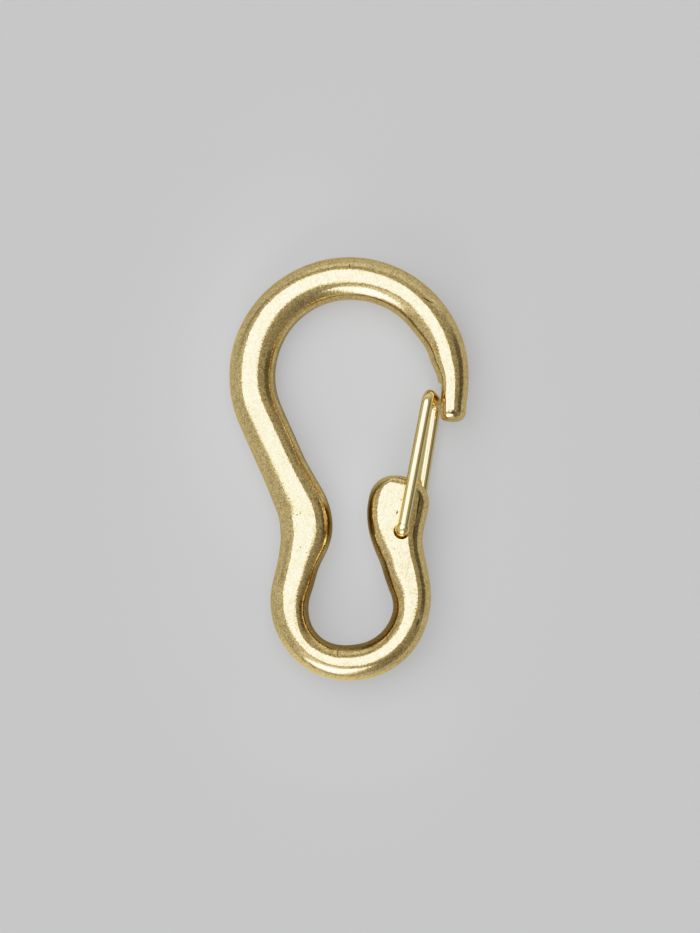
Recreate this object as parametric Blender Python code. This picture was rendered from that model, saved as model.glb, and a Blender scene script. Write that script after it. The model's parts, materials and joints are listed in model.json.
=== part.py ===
"""A solid brass key carabiner: a cast hook body and a sprung wire gate.

Run it with blender --background --python part.py, or from Blender's text editor.
Units are metres. The hook lies flat in the XY plane, with +Y from the small lower loop to the large
upper loop and +Z out of its front face. The origin is the centre of the whole carabiner.

The body's centreline is drawn as tangent lines and arcs, nose to head: two circles, for the upper
loop and the lower loop, joined by a waisted spine, and a shank that rises from the lower loop to
the head. A rounded section is carried along it, with a flat on each face that is widest on the
head, where it lies nearer the inner side. The gate is one bent wire. Its two ends are staggered in
two blind holes, one in each face of the head, and its loop shuts against a flat seat under a small
shoulder inside the nose.
"""

import math

import bmesh
import bpy
import numpy as np
from mathutils import Vector

# Centreline of the body, seen from the front. Leans are measured from the Y axis.
LOOP_RADIUS = 0.0176
EYE_RADIUS = 0.0109
LOOP_TO_EYE = 0.0406
EYE_SHIFT = 0.0002
WAIST_RADIUS = 0.0122
SPINE_LEAN = math.radians(24.0)
FLANK_LEAN = math.radians(14.0)
SHANK_LEAN = math.radians(15.0)
SHANK_RUN = 0.0071
HEAD_BEND_RADIUS = 0.0170
HEAD_TURN = math.radians(28.0)
NOSE_START = math.radians(-2.0)
NOSE_RUN = 0.0052

# Section of the casting, by name of the place along it. Width is seen from the front.
NOSE_WIDTH = 0.0050
NOSE_THICKNESS = 0.0064
SHOULDER_WIDTH = 0.0055
TAPER_WIDTH = 0.0067
LOOP_SIDE_WIDTH = 0.0074
LOOP_TOP_WIDTH = 0.0077
LOOP_THICKNESS = 0.0072
SPINE_WIDTH = 0.0083
SPINE_THICKNESS = 0.0074
WAIST_WIDTH = 0.0095
FLANK_WIDTH = 0.0074
EYE_WIDTH = 0.0061
EYE_BASE_WIDTH = 0.0065
EYE_THICKNESS = 0.0066
SHANK_WIDTH = 0.0080
HEAD_WIDTH = 0.0109
HEAD_THICKNESS = 0.0072

# How far the casting stands off its centreline: out at the nose and the lower loop, in at the waist
NOSE_OFFSET = 0.0010
TAPER_OFFSET = 0.0004
WAIST_OFFSET = 0.0003
EYE_OFFSET = 0.0005

# Rounded ends of the casting. A higher power keeps the width, or the thickness, closer to the end.
HEAD_CAP_LENGTH = 0.0048
HEAD_CAP_POWERS = (2.2, 3.6)
NOSE_CAP_LENGTH = 0.0024
NOSE_CAP_POWERS = (2.7, 2.6)
POLE_SHARE = 0.12

# Flat seat filed into the inner side of the nose, and the shoulder above it. The gate's crossbar
# meets the seat this far below the shoulder, and this share of the way out to the seat's back edge.
SEAT_LENGTH = 0.0044
SEAT_DEPTH = 0.0006
SHOULDER_SLOPE = math.radians(28.0)
SEAT_ROOT_RADIUS = 0.0002
SEAT_DROP = 0.00265
SEAT_EDGE_SHARE = 0.35

# Gate wire. Its back leg stands further out and lower than its front leg.
WIRE_DIAMETER = 0.00205
ELBOW_RADIUS = 0.0012
ELBOW_SWELL = 0.00026
LOOP_BEND_RADIUS = 0.0019
STUB_DEPTH = 0.0020
FOOT_STAGGER = 0.0025
FOOT_STEP = 0.0009
TOP_STAGGER = 0.0018
TOP_STEP = 0.00085
GATE_TRAVEL = math.radians(28.0)

# Blind holes in the head. The front wire end is this far back from the end of the centreline, and out.
FRONT_END_BACK = 0.00495
FRONT_END_OUT = 0.0010
HOLE_DIAMETER = 0.0028
HOLE_DEPTH = 0.0025
DRILL_POINT_ANGLE = math.radians(118.0)

# Clearances
FACE_GAP = 0.0003
SEAT_GAP = 0.0003
CUT_OVERRUN = 0.002

# Facets
STATION_SPACING = 0.0017
SECTION_POINTS = 28
WIRE_SIDES = 14
HOLE_SIDES = 48
BEND_STEPS = 8
CAP_STEPS = 8

BRASS_COLOUR = (0.70, 0.56, 0.28, 1.0)
BRASS_ROUGHNESS = 0.32
WIRE_COLOUR = (0.78, 0.64, 0.33, 1.0)
WIRE_ROUGHNESS = 0.18

UP = math.pi / 2
HALF_TURN = math.pi


def unit(angle):
    """The unit vector at this angle from +X, as an array."""
    return np.array((math.cos(angle), math.sin(angle)))


def left_of(direction):
    """The direction a quarter turn to the left of this one."""
    return np.array((-direction[1], direction[0]))


class Line:
    """A straight stretch of centreline."""

    def __init__(self, start, heading, length):
        self.start = np.array(start)
        self.heading = heading
        self.length = length

    def at(self, distance):
        return self.start + unit(self.heading) * distance, self.heading


class Arc:
    """A round stretch of centreline. A positive sweep turns to the left."""

    def __init__(self, start, heading, radius, sweep):
        self.heading = heading
        self.radius = radius
        self.turn = math.copysign(1.0, sweep)
        self.length = radius * abs(sweep)
        self.centre = np.array(start) + left_of(unit(heading)) * radius * self.turn

    def at(self, distance):
        heading = self.heading + self.turn * distance / self.radius
        return self.centre - left_of(unit(heading)) * self.radius * self.turn, heading


class Centreline:
    """Named stretches, end to end, from the nose to the head."""

    def __init__(self, stretches):
        self.names = [name for name, _ in stretches]
        self.stretches = [stretch for _, stretch in stretches]
        self.starts = np.cumsum([0.0] + [stretch.length for stretch in self.stretches])
        self.length = self.starts[-1]

    def place(self, name, share):
        """The distance from the nose to this share of the named stretch."""
        index = self.names.index(name)
        return self.starts[index] + share * self.stretches[index].length

    def at(self, distance):
        """The point and the heading at this distance from the nose."""
        index = int(np.searchsorted(self.starts[1:-1], distance, side="right"))
        return self.stretches[index].at(distance - self.starts[index])


def meeting_point(point_a, heading_a, point_b, heading_b):
    """How far along the first line it meets the second."""
    across = left_of(unit(heading_b))
    return float(np.dot(point_b - point_a, across) / np.dot(unit(heading_a), across))


def draw_centreline():
    """Two circles, tangent lines between them and a round waist where the lines meet."""
    loop_centre = np.zeros(2)
    eye_centre = np.array((EYE_SHIFT, -LOOP_TO_EYE))

    nose_root = loop_centre + unit(NOSE_START) * LOOP_RADIUS
    nose_heading = NOSE_START + UP
    nose_tip = nose_root - unit(nose_heading) * NOSE_RUN

    spine_heading = HALF_TURN + SPINE_LEAN + UP
    spine_start = loop_centre + unit(spine_heading - UP) * LOOP_RADIUS
    flank_heading = HALF_TURN - FLANK_LEAN + UP
    flank_end = eye_centre + unit(flank_heading - UP) * EYE_RADIUS
    shank_heading = UP + SHANK_LEAN
    shank_start = eye_centre + unit(SHANK_LEAN) * EYE_RADIUS

    waist_sweep = SPINE_LEAN + FLANK_LEAN
    tangent = WAIST_RADIUS * math.tan(waist_sweep / 2)
    spine_run = meeting_point(spine_start, spine_heading, flank_end, flank_heading) - tangent
    waist_start = spine_start + unit(spine_heading) * spine_run
    waist = Arc(waist_start, spine_heading, WAIST_RADIUS, -waist_sweep)
    waist_end, _ = waist.at(waist.length)
    flank_run = float(np.linalg.norm(flank_end - waist_end))

    shank = Line(shank_start, shank_heading, SHANK_RUN)
    head_start, _ = shank.at(SHANK_RUN)
    return Centreline(
        (
            ("nose", Line(nose_tip, nose_heading, NOSE_RUN)),
            ("loop", Arc(nose_root, nose_heading, LOOP_RADIUS, HALF_TURN + SPINE_LEAN - NOSE_START)),
            ("spine", Line(spine_start, spine_heading, spine_run)),
            ("waist", waist),
            ("flank", Line(waist_end, flank_heading, flank_run)),
            ("eye", Arc(flank_end, flank_heading, EYE_RADIUS, HALF_TURN + FLANK_LEAN + SHANK_LEAN)),
            ("shank", shank),
            ("head", Arc(head_start, shank_heading, HEAD_BEND_RADIUS, -HEAD_TURN)),
        )
    )


# Stretch and share of it, then the section there: width, thickness, the flat's share of the width, how
# far in from the middle the flat lies, as a share of the half width, and how far the section stands
# in from the centreline
STATION_SHARES = (
    ("nose", 0.00, NOSE_WIDTH, NOSE_THICKNESS, 0.04, 0.22, -NOSE_OFFSET),
    ("nose", 0.80, SHOULDER_WIDTH, NOSE_THICKNESS, 0.04, 0.20, -NOSE_OFFSET),
    ("loop", 0.07, TAPER_WIDTH, LOOP_THICKNESS, 0.04, 0.10, -TAPER_OFFSET),
    ("loop", 0.19, LOOP_SIDE_WIDTH, LOOP_THICKNESS, 0.04, 0.0, 0.0),
    ("loop", 0.49, LOOP_TOP_WIDTH, LOOP_THICKNESS, 0.04, 0.0, 0.0),
    ("loop", 0.85, SPINE_WIDTH, SPINE_THICKNESS, 0.08, 0.0, 0.0),
    ("spine", 0.55, SPINE_WIDTH, SPINE_THICKNESS, 0.12, 0.0, 0.0),
    ("waist", 0.50, WAIST_WIDTH, SPINE_THICKNESS, 0.16, 0.0, WAIST_OFFSET),
    ("flank", 0.60, FLANK_WIDTH, SPINE_THICKNESS, 0.12, 0.0, 0.0),
    ("eye", 0.30, EYE_WIDTH, EYE_THICKNESS, 0.04, 0.06, -EYE_OFFSET),
    ("eye", 0.55, EYE_BASE_WIDTH, EYE_THICKNESS, 0.04, 0.0, 0.0),
    ("eye", 0.85, EYE_BASE_WIDTH, EYE_THICKNESS, 0.06, 0.0, 0.0),
    ("shank", 0.55, SHANK_WIDTH, HEAD_THICKNESS, 0.20, 0.0, 0.0),
    ("head", 0.90, HEAD_WIDTH, HEAD_THICKNESS, 0.38, 0.12, 0.0),
)


def section_at(centreline, distance):
    """Centre, heading and the section's sizes, eased between the named sections.

    The sizes are half the width, half the thickness, half the flat and how far in the flat lies.
    """
    places = [centreline.place(name, share) for name, share, *_ in STATION_SHARES]
    after = min(max(int(np.searchsorted(places, distance)), 1), len(places) - 1)
    share = (distance - places[after - 1]) / (places[after] - places[after - 1])
    share = min(max(share, 0.0), 1.0)
    eased = share * share * (3 - 2 * share)
    width, thickness, flat_share, shift_share, offset = (
        (1 - eased) * low + eased * high
        for low, high in zip(STATION_SHARES[after - 1][2:], STATION_SHARES[after][2:])
    )
    point, heading = centreline.at(distance)
    centre = point + left_of(unit(heading)) * offset
    half_width = width / 2
    return centre, heading, (half_width, thickness / 2, flat_share * half_width, shift_share * half_width)


def section_outline(half_width, half_thickness, half_flat, shift):
    """Points round the section: a flat on each face, with an ellipse on each side.

    The shift moves the flats by all of it and the sides by less, down to nothing at the widest point.
    """
    angles = (np.arange(SECTION_POINTS) + 0.5) * 2 * HALF_TURN / SECTION_POINTS
    rounded = np.cos(angles)
    reach = rounded / rounded.max()
    across = half_flat * np.sign(rounded) + (half_width - half_flat) * reach + shift * (1 - np.abs(reach))
    return across, half_thickness * np.sin(angles) / np.sin(angles).max()


def cap_places(length, powers):
    """Distances past an end of the centreline, and the shares of width and thickness left at each."""
    shares = np.sin(np.linspace(0.0, UP, CAP_STEPS + 1))[1:]
    width_left, thickness_left = ((1 - shares**power).clip(0.0) ** (1 / power) for power in powers)
    keep = width_left > POLE_SHARE
    return length * shares[keep], width_left[keep], thickness_left[keep]


def body_stations(centreline):
    """Centre, heading and section sizes of each station, from the nose's end to the head's end."""
    count = round(centreline.length / STATION_SPACING)
    stations = []
    for distance in np.linspace(0.0, centreline.length, count + 1):
        stations.append(section_at(centreline, distance))
    for end, along, cap_length, powers in (
        (stations[0], -1.0, NOSE_CAP_LENGTH, NOSE_CAP_POWERS),
        (stations[-1], 1.0, HEAD_CAP_LENGTH, HEAD_CAP_POWERS),
    ):
        point, heading, (half_width, half_thickness, half_flat, shift) = end
        caps = [
            (
                point + along * unit(heading) * run,
                heading,
                (wide * half_width, thick * half_thickness, wide * half_flat, wide * shift),
            )
            for run, wide, thick in zip(*cap_places(cap_length, powers))
        ]
        stations = caps[::-1] + stations if along < 0 else stations + caps
    return stations


def plan_extents(stations):
    """Lowest and highest corner of the body in plan."""
    edges = [
        point + side * left_of(unit(heading)) * sizes[0]
        for point, heading, sizes in stations
        for side in (-1.0, 1.0)
    ]
    return np.min(edges, axis=0), np.max(edges, axis=0)


def new_object(name, data, material=None):
    """An object in the scene that holds this data."""
    made = bpy.data.objects.new(name, data)
    bpy.context.scene.collection.objects.link(made)
    if material:
        data.materials.append(material)
    return made


def brass(name, colour, roughness):
    """A metal surface of this colour."""
    material = bpy.data.materials.new(name)
    material.use_nodes = True
    shader = material.node_tree.nodes["Principled BSDF"]
    shader.inputs["Base Color"].default_value = colour
    shader.inputs["Metallic"].default_value = 1.0
    shader.inputs["Roughness"].default_value = roughness
    return material


def skin_sections(mesh, stations, origin):
    """Skins the sections into one closed surface."""
    shape = bmesh.new()
    rings = []
    for point, heading, sizes in stations:
        across, height = section_outline(*sizes)
        side = left_of(unit(heading))
        rings.append(
            [
                shape.verts.new((*(point - origin + side * a), h))
                for a, h in zip(across, height)
            ]
        )
    for ring, following in zip(rings, rings[1:]):
        for i in range(SECTION_POINTS):
            j = (i + 1) % SECTION_POINTS
            shape.faces.new((ring[i], ring[j], following[j], following[i]))
    shape.faces.new(rings[0])
    shape.faces.new(rings[-1])
    bmesh.ops.recalc_face_normals(shape, faces=shape.faces)
    shape.to_mesh(mesh)
    shape.free()


def cut(body, cutter):
    """Cuts the cutter's shape out of the body and keeps the cutter as a guide."""
    cutter.hide_render = True
    cutter.display_type = "WIRE"
    modifier = body.modifiers.new(cutter.name, "BOOLEAN")
    modifier.object = cutter
    modifier.operation = "DIFFERENCE"
    modifier.solver = "EXACT"


def drill(name, centre, face, inwards):
    """A drill of the hole's size, standing in the face at this height, with its point inwards."""
    radius = HOLE_DIAMETER / 2
    mouth = face - inwards * CUT_OVERRUN
    bottom = face + inwards * HOLE_DEPTH
    point = bottom + inwards * radius / math.tan(DRILL_POINT_ANGLE / 2)
    mesh = bpy.data.meshes.new(name)
    shape = bmesh.new()
    turns = np.arange(HOLE_SIDES) * 2 * HALF_TURN / HOLE_SIDES
    rims = [
        [shape.verts.new((*(centre + unit(turn) * radius), height)) for turn in turns]
        for height in (mouth, bottom)
    ]
    tip = shape.verts.new((*centre, point))
    shape.faces.new(rims[0])
    for i in range(HOLE_SIDES):
        j = (i + 1) % HOLE_SIDES
        shape.faces.new((rims[0][i], rims[0][j], rims[1][j], rims[1][i]))
        shape.faces.new((rims[1][i], rims[1][j], tip))
    bmesh.ops.recalc_face_normals(shape, faces=shape.faces)
    shape.to_mesh(mesh)
    shape.free()
    return new_object(name, mesh)


class NoseSeat:
    """Where the flat seat lies: its root under the shoulder, and its directions."""

    def __init__(self, centreline, origin):
        centre, heading, (half_width, *_) = section_at(centreline, SEAT_LENGTH)
        self.up = unit(heading)
        self.inwards = left_of(self.up)
        self.root = centre - origin + self.inwards * (half_width - SEAT_DEPTH)


def seat_cutter(seat):
    """A prism with the seat as one side, the sloping shoulder as another and a round root between."""
    reach = SEAT_DEPTH + CUT_OVERRUN
    run = SEAT_LENGTH + NOSE_CAP_LENGTH + CUT_OVERRUN
    shoulder = math.cos(SHOULDER_SLOPE) * seat.inwards + math.sin(SHOULDER_SLOPE) * seat.up
    corner = UP + SHOULDER_SLOPE
    tangent = SEAT_ROOT_RADIUS / math.tan(corner / 2)
    centre = seat.root - seat.up * tangent + seat.inwards * SEAT_ROOT_RADIUS
    swings = np.linspace(0.0, HALF_TURN - corner, BEND_STEPS + 1)
    root = [
        centre + SEAT_ROOT_RADIUS * (math.sin(s) * seat.up - math.cos(s) * seat.inwards)
        for s in swings
    ]
    outline = [
        seat.root - seat.up * run,
        *root,
        seat.root + shoulder * reach / math.cos(SHOULDER_SLOPE),
        seat.root - seat.up * run + seat.inwards * reach,
    ]
    mesh = bpy.data.meshes.new("seat_cutter")
    shape = bmesh.new()
    base = shape.faces.new([shape.verts.new((*p, -NOSE_THICKNESS)) for p in outline])
    raised = bmesh.ops.extrude_face_region(shape, geom=[base])
    top = [item for item in raised["geom"] if isinstance(item, bmesh.types.BMVert)]
    bmesh.ops.translate(shape, verts=top, vec=(0.0, 0.0, 2 * NOSE_THICKNESS))
    bmesh.ops.recalc_face_normals(shape, faces=shape.faces)
    shape.to_mesh(mesh)
    shape.free()
    return new_object("seat_cutter", mesh)


class GatePlan:
    """The gate's place in plan when shut, worked out from the head's holes and the nose's seat."""

    def __init__(self, centreline, seat, origin):
        radius = WIRE_DIAMETER / 2
        self.leg_height = HEAD_THICKNESS / 2 + FACE_GAP + radius
        point, heading = centreline.at(centreline.length - FRONT_END_BACK)
        self.front_end = point - origin - left_of(unit(heading)) * FRONT_END_OUT

        # The crossbar slants, so it meets the seat towards the seat's back edge.
        touch_share = (1 + SEAT_EDGE_SHARE * NOSE_THICKNESS / 2 / self.leg_height) / 2
        touch = seat.root - seat.up * SEAT_DROP + seat.inwards * (radius + SEAT_GAP)
        run, rise = touch - self.front_end
        reach = math.hypot(run, rise)
        sideways = touch_share * TOP_STAGGER
        leg_length = math.sqrt(reach**2 - sideways**2) + touch_share * TOP_STEP
        along = unit(math.atan2(rise, run) + math.asin(sideways / reach))
        outwards = -left_of(along)

        self.front_top = self.front_end + along * leg_length
        self.back_top = self.front_top + outwards * TOP_STAGGER - along * TOP_STEP
        self.back_end = self.front_end + outwards * FOOT_STAGGER - along * FOOT_STEP
        self.pivot = (self.front_end + self.back_end) / 2

        # Each end sits in its hole off centre by half its travel, on the other side when open.
        self.front_hole = self.turned(self.front_end, GATE_TRAVEL / 2)
        self.back_hole = self.turned(self.back_end, GATE_TRAVEL / 2)

    def turned(self, point, angle):
        """This point once the gate has opened by this angle."""
        arm = point - self.pivot
        return self.pivot + math.cos(angle) * arm + math.sin(angle) * left_of(arm)


def rounded_corner(before, corner, after, radius, swells):
    """Points on the arc that rounds a corner of the wire, each with the wire's radius there.

    Where the bend is swollen, all of the swelling goes to its outer side.
    """
    into, out = (corner - before).normalized(), (after - corner).normalized()
    turn = into.angle(out)
    side = (out - into * into.dot(out)).normalized()
    centre = corner - into * radius * math.tan(turn / 2) + side * radius
    return [
        (centre + (into * math.sin(a) - side * math.cos(a)) * (radius + swell), WIRE_DIAMETER / 2 + swell)
        for a, swell in zip(np.linspace(0.0, turn, BEND_STEPS + 1), swells)
    ]


def gate_wire(plan):
    """The wire's centre points from one end to the other, each with the wire's radius there."""
    stub_end = HEAD_THICKNESS / 2 - STUB_DEPTH
    corners = [
        Vector((*(place - plan.pivot), height))
        for place, height in (
            (plan.front_end, stub_end),
            (plan.front_end, plan.leg_height),
            (plan.front_top, plan.leg_height),
            (plan.back_top, -plan.leg_height),
            (plan.back_end, -plan.leg_height),
            (plan.back_end, -stub_end),
        )
    ]
    # Each elbow is a hammered knob, which swells only above the face, so the stub turns in its hole.
    knob = ELBOW_SWELL * np.sin(np.linspace(0.0, HALF_TURN, BEND_STEPS + 1)) ** 2
    even = np.zeros(BEND_STEPS + 1)
    bends = (
        (ELBOW_RADIUS, knob),
        (LOOP_BEND_RADIUS, even),
        (LOOP_BEND_RADIUS, even),
        (ELBOW_RADIUS, knob),
    )
    wire = [(corners[0], WIRE_DIAMETER / 2)]
    for i, (radius, swells) in enumerate(bends):
        wire += rounded_corner(*corners[i : i + 3], radius, swells)
    wire.append((corners[-1], WIRE_DIAMETER / 2))
    return wire


def build_body(centreline, origin, seat, plan):
    """The casting: skinned sections, the nose's seat and a blind hole in each face of the head."""
    mesh = bpy.data.meshes.new("hook_body")
    skin_sections(mesh, body_stations(centreline), origin)
    body = new_object("hook_body", mesh, brass("cast_brass", BRASS_COLOUR, BRASS_ROUGHNESS))
    cut(body, seat_cutter(seat))
    cut(body, drill("front_drill", plan.front_hole, HEAD_THICKNESS / 2, -1.0))
    cut(body, drill("back_drill", plan.back_hole, -HEAD_THICKNESS / 2, 1.0))
    mesh.shade_smooth()
    return body


def build_gate(plan):
    """The gate: a round wire along its bent centreline, with its object on the pivot's axis."""
    curve = bpy.data.curves.new("wire_gate", "CURVE")
    curve.dimensions = "3D"
    curve.bevel_depth = WIRE_DIAMETER / 2
    curve.bevel_resolution = WIRE_SIDES // 2 - 2
    curve.use_fill_caps = True
    wire = gate_wire(plan)
    spline = curve.splines.new("POLY")
    spline.points.add(len(wire) - 1)
    for point, (place, radius) in zip(spline.points, wire):
        point.co = (*place, 1.0)
        point.radius = radius / curve.bevel_depth
    gate = new_object("wire_gate", curve, brass("brass_wire", WIRE_COLOUR, WIRE_ROUGHNESS))
    gate.location = (*plan.pivot, 0.0)
    return gate


def main():
    for old in list(bpy.data.objects):
        bpy.data.objects.remove(old)
    centreline = draw_centreline()
    low, high = plan_extents(body_stations(centreline))
    origin = (low + high) / 2
    seat = NoseSeat(centreline, origin)
    plan = GatePlan(centreline, seat, origin)
    build_body(centreline, origin, seat, plan)
    build_gate(plan)
    print("gate pivot", plan.pivot, "front hole", plan.front_hole, "back hole", plan.back_hole)
    print("front end", plan.front_end, "back end", plan.back_end)
    print("front top", plan.front_top, "back top", plan.back_top)
    print("seat root", seat.root, "loop centre", -origin)


main()
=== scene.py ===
# %% [markdown]
# # A brass key carabiner
# The real thing is two pieces: a solid brass casting that is bent like a figure eight with one side
# open, and a loop of brass wire that springs shut across the opening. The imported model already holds
# both at their real size. This lesson gives them their looks: smooth surfaces, worn brass, a pale
# floor and studio light. Each step is a cell of its own, and prints what it made or measured.

import json
import math

import bpy
import numpy as np
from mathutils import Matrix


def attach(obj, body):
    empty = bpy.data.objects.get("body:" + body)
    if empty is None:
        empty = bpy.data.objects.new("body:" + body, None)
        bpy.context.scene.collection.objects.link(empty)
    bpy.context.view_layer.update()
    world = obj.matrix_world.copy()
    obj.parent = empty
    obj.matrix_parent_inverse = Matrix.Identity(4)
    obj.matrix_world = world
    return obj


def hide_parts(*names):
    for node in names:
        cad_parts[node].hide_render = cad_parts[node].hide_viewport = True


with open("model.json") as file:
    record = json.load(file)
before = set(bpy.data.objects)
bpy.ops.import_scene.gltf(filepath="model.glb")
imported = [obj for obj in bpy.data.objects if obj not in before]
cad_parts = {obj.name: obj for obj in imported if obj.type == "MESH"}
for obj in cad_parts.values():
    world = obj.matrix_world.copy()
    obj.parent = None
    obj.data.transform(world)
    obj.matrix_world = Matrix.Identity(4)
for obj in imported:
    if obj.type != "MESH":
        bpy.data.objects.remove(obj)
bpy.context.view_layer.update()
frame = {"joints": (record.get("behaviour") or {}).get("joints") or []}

# %% [markdown]
# ## Small helpers
# A surface here is always a grid of points: rows run along the piece and columns run round it. One
# function turns any such grid into a mesh, so that every piece is made the same way. The faces are
# worked out as whole arrays, because a Python loop over a hundred thousand points would be slow.

# %% Helpers for directions and grids
HALF_TURN = math.pi
QUARTER_TURN = math.pi / 2


def unit(angle):
    """Cosine and sine of each angle, as the last axis: the direction that the angle points in."""
    return np.stack((np.cos(angle), np.sin(angle)), axis=-1)


def left_of(direction):
    """Each direction turned a quarter turn to the left: (x, y) becomes (-y, x)."""
    return np.stack((-direction[..., 1], direction[..., 0]), axis=-1)


def smooth_step(share):
    """The share eased at both ends: three times its square less twice its cube."""
    share = np.clip(share, 0.0, 1.0)
    return share * share * (3 - 2 * share)


def grid_faces(rows, columns):
    """Four corners of each cell of a grid whose last column joins its first."""
    corner = np.arange(rows * columns).reshape(rows, columns)
    beside = np.roll(corner, -1, axis=1)
    cells = (corner[:-1], beside[:-1], beside[1:], corner[1:])
    return np.stack(cells, axis=-1).reshape(-1, 4)


def pole_faces(ring, pole):
    """Triangles from a ring of point numbers to one pole."""
    return np.stack((np.roll(ring, -1), ring, np.full_like(ring, pole)), axis=-1)


def mesh_object(name, points, quads, triangles):
    """A smooth mesh from arrays: points, faces of four corners and faces of three corners."""
    mesh = bpy.data.meshes.new(name)
    corners = np.concatenate((quads.ravel(), triangles.ravel()))
    counts = np.concatenate((np.full(len(quads), 4), np.full(len(triangles), 3)))
    mesh.vertices.add(len(points))
    mesh.vertices.foreach_set("co", points.astype(np.float32).ravel())
    mesh.loops.add(len(corners))
    mesh.loops.foreach_set("vertex_index", corners.astype(np.int32))
    mesh.polygons.add(len(counts))
    starts = np.concatenate(([0], np.cumsum(counts)[:-1]))
    mesh.polygons.foreach_set("loop_start", starts.astype(np.int32))
    mesh.update(calc_edges=True)
    mesh.validate()
    mesh.shade_smooth()
    made = bpy.data.objects.new(name, mesh)
    bpy.context.scene.collection.objects.link(made)
    return made


def closed_tube(name, rings, first_pole, last_pole):
    """A grid of rings, shut at both ends by a fan of triangles round a pole."""
    rows, columns, _ = rings.shape
    points = np.concatenate((rings.reshape(-1, 3), [first_pole, last_pole]))
    numbers = np.arange(rows * columns).reshape(rows, columns)
    start = pole_faces(numbers[0], rows * columns)
    end = pole_faces(numbers[-1][::-1], rows * columns + 1)
    return mesh_object(name, points, grid_faces(rows, columns), np.concatenate((start, end)))


# %% [markdown]
# ## The line that the casting follows
# Seen from the front, the middle of the casting is a chain of straight lines and arcs that run into
# each other without a kink: nose, large loop, spine, waist, flank, small loop (its maker would say
# the eye), shank and head. A stretch with a steady bend is known by its length and its bend alone, so
# the whole chain is two short lists. The lengths of the spine and the flank aren't chosen: they are
# what joins the two loops at their right distance.

# %% Driving sizes of the casting, in metres
LOOP_RADIUS = 0.0176
EYE_RADIUS = 0.0109
LOOP_TO_EYE = 0.0406
EYE_SHIFT = 0.0002
WAIST_RADIUS = 0.0122
SPINE_LEAN = math.radians(24.0)
FLANK_LEAN = math.radians(14.0)
SHANK_LEAN = math.radians(15.0)
SHANK_RUN = 0.0071
HEAD_BEND_RADIUS = 0.0170
HEAD_TURN = math.radians(28.0)
NOSE_START = math.radians(-2.0)
NOSE_RUN = 0.0052

# %% Chain of stretches
STRETCH_NAMES = ("nose", "loop", "spine", "waist", "flank", "eye", "shank", "head")


def waist_runs():
    """Lengths of the spine and the flank, from two sums: along X and along Y, the way from the
    loop's centre over the spine, the waist and the flank has to end at the eye's centre."""
    spine_way = -QUARTER_TURN + SPINE_LEAN
    flank_way = -QUARTER_TURN - FLANK_LEAN
    sides = LOOP_RADIUS * unit(spine_way - QUARTER_TURN) - EYE_RADIUS * unit(flank_way - QUARTER_TURN)
    waist = WAIST_RADIUS * (unit(spine_way - QUARTER_TURN) - unit(flank_way - QUARTER_TURN))
    wanted = np.array((EYE_SHIFT, -LOOP_TO_EYE)) - sides - waist
    return np.linalg.solve(np.stack((unit(spine_way), unit(flank_way)), axis=-1), wanted)


spine_run, flank_run = waist_runs()
loop_sweep = HALF_TURN + SPINE_LEAN - NOSE_START
waist_sweep = SPINE_LEAN + FLANK_LEAN
eye_sweep = HALF_TURN + FLANK_LEAN + SHANK_LEAN
lengths = np.array(
    (
        NOSE_RUN,
        LOOP_RADIUS * loop_sweep,
        spine_run,
        WAIST_RADIUS * waist_sweep,
        flank_run,
        EYE_RADIUS * eye_sweep,
        SHANK_RUN,
        HEAD_BEND_RADIUS * HEAD_TURN,
    )
)
bends = np.array(
    (0.0, 1 / LOOP_RADIUS, 0.0, -1 / WAIST_RADIUS, 0.0, 1 / EYE_RADIUS, 0.0, -1 / HEAD_BEND_RADIUS)
)
starts = np.concatenate(([0.0], np.cumsum(lengths)))
whole_run = starts[-1]
print("spine", spine_run, "flank", flank_run, "whole line", whole_run)


# %% Points along the chain
def chord(bend, run):
    """Length of the straight line across an arc: the run times the sine of half the turn, over half
    the turn. Where there is no bend this is the run itself."""
    return run * np.sinc(bend * run / 2 / np.pi)


nose_root = LOOP_RADIUS * unit(NOSE_START)
nose_way = NOSE_START + QUARTER_TURN
ways = nose_way + np.concatenate(([0.0], np.cumsum(bends * lengths)))[:-1]
steps = chord(bends, lengths)[:, None] * unit(ways + bends * lengths / 2)
line_start = nose_root - NOSE_RUN * unit(nose_way)
corners = line_start + np.concatenate((np.zeros((1, 2)), np.cumsum(steps, axis=0)))


def along_line(distance):
    """Point and heading at each distance from the nose: the start of the stretch that holds it, plus
    a chord whose direction is the stretch's own, turned by half of what the arc turns."""
    which = np.clip(np.searchsorted(starts, distance, side="right") - 1, 0, len(lengths) - 1)
    run = distance - starts[which]
    turn = bends[which] * run
    point = corners[which] + chord(bends[which], run)[..., None] * unit(ways[which] + turn / 2)
    return point, ways[which] + turn


def place(name, share):
    """Distance from the nose to this share of the named stretch."""
    index = STRETCH_NAMES.index(name)
    return starts[index] + share * lengths[index]


print("line ends at", corners[-1])

# %% [markdown]
# ## The section that the line carries
# The casting isn't one thickness. It is slim at the nose and round the eye, fuller down the spine, and
# widest at the waist and the head, where its faces are flatter. So the section has a width, a
# thickness, a share of its width that is flat on each face, and an offset from the line, each given
# at a few named places. Between two places they ease from one value to the next. The crown leans
# inwards or outwards here and there too, which is what moves the bright band across the casting.

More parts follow.
